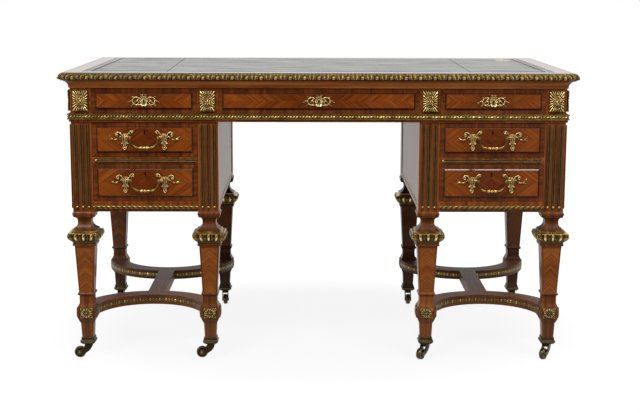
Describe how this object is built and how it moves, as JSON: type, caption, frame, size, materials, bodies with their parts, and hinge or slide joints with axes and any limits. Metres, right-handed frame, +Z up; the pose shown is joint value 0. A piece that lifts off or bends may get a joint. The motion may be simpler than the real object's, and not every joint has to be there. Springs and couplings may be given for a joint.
{
  "type": "bureau mazarin",
  "caption": "Kneehole writing desk on square baluster legs with bowed stretchers, fielded drawers, bail handles, leather top and swivel castors.",
  "frame": {"origin": "on the floor under the middle of the desk", "axes": "+X to the right seen from the front, -Y towards the sitter (drawer side), +Z up"},
  "size_m": [1.365, 0.737, 0.78],
  "materials": {
    "kingwood": "french polished kingwood veneer",
    "drawer_veneer": "french polished quarter veneer with crossbanding",
    "oak_linings": "plain waxed oak",
    "leather": "glazed leather with gilt tooling",
    "gilt_mouldings": "cast and gilded, dark in the hollows",
    "gilt_brass": "cast and gilded, dark in the hollows",
    "castor_brass": "tarnished",
    "castor_wheel_brass": "tarnished"
  },
  "bodies": {
    "desk": {"cornice_moulding": "kingwood", "flute_linings": "gilt_brass", "foot_collars": "gilt_brass", "frieze_band_moulding": "gilt_mouldings", "frieze_case": "kingwood", "frieze_rosettes": "gilt_brass", "gadroon_collars": "gilt_brass", "left_legs": "kingwood", "left_pedestal_case": "kingwood", "left_stretcher": "kingwood", "leg_rosettes": "gilt_brass", "pedestal_base_strips": "gilt_brass", "right_legs": "kingwood", "right_pedestal_case": "kingwood", "right_stretcher": "kingwood", "stretcher_strips": "gilt_brass", "top_board": "kingwood", "top_edge_moulding": "gilt_mouldings", "writing_leather": "leather"},
    "left_frieze_drawer": {"left_frieze_drawer_front": "drawer_veneer", "left_frieze_drawer_box": "oak_linings", "left_frieze_drawer_mounts": "gilt_brass"},
    "centre_frieze_drawer": {"centre_frieze_drawer_front": "drawer_veneer", "centre_frieze_drawer_box": "oak_linings", "centre_frieze_drawer_mounts": "gilt_brass"},
    "right_frieze_drawer": {"right_frieze_drawer_front": "drawer_veneer", "right_frieze_drawer_box": "oak_linings", "right_frieze_drawer_mounts": "gilt_brass"},
    "left_upper_drawer": {"left_upper_drawer_front": "drawer_veneer", "left_upper_drawer_box": "oak_linings", "left_upper_drawer_mounts": "gilt_brass"},
    "left_upper_drawer_bail": {"left_upper_drawer_bail": "gilt_brass"},
    "left_lower_drawer": {"left_lower_drawer_front": "drawer_veneer", "left_lower_drawer_box": "oak_linings", "left_lower_drawer_mounts": "gilt_brass"},
    "left_lower_drawer_bail": {"left_lower_drawer_bail": "gilt_brass"},
    "right_upper_drawer": {"right_upper_drawer_front": "drawer_veneer", "right_upper_drawer_box": "oak_linings", "right_upper_drawer_mounts": "gilt_brass"},
    "right_upper_drawer_bail": {"right_upper_drawer_bail": "gilt_brass"},
    "right_lower_drawer": {"right_lower_drawer_front": "drawer_veneer", "right_lower_drawer_box": "oak_linings", "right_lower_drawer_mounts": "gilt_brass"},
    "right_lower_drawer_bail": {"right_lower_drawer_bail": "gilt_brass"},
    "front_left_outer_castor": {"front_left_outer_castor_fork": "castor_brass"},
    "front_left_outer_castor_wheel": {"front_left_outer_castor_wheel": "castor_wheel_brass"},
    "front_left_inner_castor": {"front_left_inner_castor_fork": "castor_brass"},
    "front_left_inner_castor_wheel": {"front_left_inner_castor_wheel": "castor_wheel_brass"},
    "front_right_inner_castor": {"front_right_inner_castor_fork": "castor_brass"},
    "front_right_inner_castor_wheel": {"front_right_inner_castor_wheel": "castor_wheel_brass"},
    "front_right_outer_castor": {"front_right_outer_castor_fork": "castor_brass"},
    "front_right_outer_castor_wheel": {"front_right_outer_castor_wheel": "castor_wheel_brass"},
    "rear_left_outer_castor": {"rear_left_outer_castor_fork": "castor_brass"},
    "rear_left_outer_castor_wheel": {"rear_left_outer_castor_wheel": "castor_wheel_brass"},
    "rear_left_inner_castor": {"rear_left_inner_castor_fork": "castor_brass"},
    "rear_left_inner_castor_wheel": {"rear_left_inner_castor_wheel": "castor_wheel_brass"},
    "rear_right_inner_castor": {"rear_right_inner_castor_fork": "castor_brass"},
    "rear_right_inner_castor_wheel": {"rear_right_inner_castor_wheel": "castor_wheel_brass"},
    "rear_right_outer_castor": {"rear_right_outer_castor_fork": "castor_brass"},
    "rear_right_outer_castor_wheel": {"rear_right_outer_castor_wheel": "castor_wheel_brass"}
  },
  "joints": [
    {"name": "left_frieze_drawer_slide", "type": "slide", "parent": "desk", "child": "left_frieze_drawer", "axis": [0, -1, 0], "range_m": [0, 0.45]},
    {"name": "centre_frieze_drawer_slide", "type": "slide", "parent": "desk", "child": "centre_frieze_drawer", "axis": [0, -1, 0], "range_m": [0, 0.45]},
    {"name": "right_frieze_drawer_slide", "type": "slide", "parent": "desk", "child": "right_frieze_drawer", "axis": [0, -1, 0], "range_m": [0, 0.45]},
    {"name": "left_upper_drawer_slide", "type": "slide", "parent": "desk", "child": "left_upper_drawer", "axis": [0, -1, 0], "range_m": [0, 0.45]},
    {"name": "left_upper_bail_hinge", "type": "hinge", "parent": "left_upper_drawer", "child": "left_upper_drawer_bail", "pos_m": [-0.46, -0.358, 0.61125], "axis": [-1, 0, 0], "range_deg": [0, 100]},
    {"name": "left_lower_drawer_slide", "type": "slide", "parent": "desk", "child": "left_lower_drawer", "axis": [0, -1, 0], "range_m": [0, 0.45]},
    {"name": "left_lower_bail_hinge", "type": "hinge", "parent": "left_lower_drawer", "child": "left_lower_drawer_bail", "pos_m": [-0.46, -0.358, 0.4965], "axis": [-1, 0, 0], "range_deg": [0, 100]},
    {"name": "right_upper_drawer_slide", "type": "slide", "parent": "desk", "child": "right_upper_drawer", "axis": [0, -1, 0], "range_m": [0, 0.45]},
    {"name": "right_upper_bail_hinge", "type": "hinge", "parent": "right_upper_drawer", "child": "right_upper_drawer_bail", "pos_m": [0.46, -0.358, 0.61125], "axis": [-1, 0, 0], "range_deg": [0, 100]},
    {"name": "right_lower_drawer_slide", "type": "slide", "parent": "desk", "child": "right_lower_drawer", "axis": [0, -1, 0], "range_m": [0, 0.45]},
    {"name": "right_lower_bail_hinge", "type": "hinge", "parent": "right_lower_drawer", "child": "right_lower_drawer_bail", "pos_m": [0.46, -0.358, 0.4965], "axis": [-1, 0, 0], "range_deg": [0, 100]},
    {"name": "front_left_outer_castor_swivel", "type": "hinge", "parent": "desk", "child": "front_left_outer_castor", "pos_m": [-0.62675, -0.31275, 0.0407], "axis": [0, 0, 1], "continuous": true},
    {"name": "front_left_outer_castor_roll", "type": "hinge", "parent": "front_left_outer_castor", "child": "front_left_outer_castor_wheel", "pos_m": [-0.65075, -0.31275, 0.0158], "axis": [0, -1, 0], "continuous": true},
    {"name": "front_left_inner_castor_swivel", "type": "hinge", "parent": "desk", "child": "front_left_inner_castor", "pos_m": [-0.29325, -0.31275, 0.0407], "axis": [0, 0, 1], "continuous": true},
    {"name": "front_left_inner_castor_roll", "type": "hinge", "parent": "front_left_inner_castor", "child": "front_left_inner_castor_wheel", "pos_m": [-0.31725, -0.31275, 0.0158], "axis": [0, -1, 0], "continuous": true},
    {"name": "front_right_inner_castor_swivel", "type": "hinge", "parent": "desk", "child": "front_right_inner_castor", "pos_m": [0.29325, -0.31275, 0.0407], "axis": [0, 0, 1], "continuous": true},
    {"name": "front_right_inner_castor_roll", "type": "hinge", "parent": "front_right_inner_castor", "child": "front_right_inner_castor_wheel", "pos_m": [0.27983, -0.33265, 0.0158], "axis": [0.829, -0.5592, 0], "continuous": true},
    {"name": "front_right_outer_castor_swivel", "type": "hinge", "parent": "desk", "child": "front_right_outer_castor", "pos_m": [0.62675, -0.31275, 0.0407], "axis": [0, 0, 1], "continuous": true},
    {"name": "front_right_outer_castor_roll", "type": "hinge", "parent": "front_right_outer_castor", "child": "front_right_outer_castor_wheel", "pos_m": [0.61475, -0.33353, 0.0158], "axis": [0.866, -0.5, 0], "continuous": true},
    {"name": "rear_left_outer_castor_swivel", "type": "hinge", "parent": "desk", "child": "rear_left_outer_castor", "pos_m": [-0.62675, 0.31275, 0.0407], "axis": [0, 0, 1], "continuous": true},
    {"name": "rear_left_outer_castor_roll", "type": "hinge", "parent": "rear_left_outer_castor", "child": "rear_left_outer_castor_wheel", "pos_m": [-0.63009, 0.28898, 0.0158], "axis": [0.9903, -0.1392, 0], "continuous": true},
    {"name": "rear_left_inner_castor_swivel", "type": "hinge", "parent": "desk", "child": "rear_left_inner_castor", "pos_m": [-0.29325, 0.31275, 0.0407], "axis": [0, 0, 1], "continuous": true},
    {"name": "rear_left_inner_castor_roll", "type": "hinge", "parent": "rear_left_inner_castor", "child": "rear_left_inner_castor_wheel", "pos_m": [-0.29116, 0.28884, 0.0158], "axis": [0.9962, 0.0872, 0], "continuous": true},
    {"name": "rear_right_inner_castor_swivel", "type": "hinge", "parent": "desk", "child": "rear_right_inner_castor", "pos_m": [0.29325, 0.31275, 0.0407], "axis": [0, 0, 1], "continuous": true},
    {"name": "rear_right_inner_castor_roll", "type": "hinge", "parent": "rear_right_inner_castor", "child": "rear_right_inner_castor_wheel", "pos_m": [0.29241, 0.28876, 0.0158], "axis": [0.9994, -0.0349, 0], "continuous": true},
    {"name": "rear_right_outer_castor_swivel", "type": "hinge", "parent": "desk", "child": "rear_right_outer_castor", "pos_m": [0.62675, 0.31275, 0.0407], "axis": [0, 0, 1], "continuous": true},
    {"name": "rear_right_outer_castor_roll", "type": "hinge", "parent": "rear_right_outer_castor", "child": "rear_right_outer_castor_wheel", "pos_m": [0.63092, 0.28911, 0.0158], "axis": [0.9848, 0.1736, 0], "continuous": true}
  ]
}
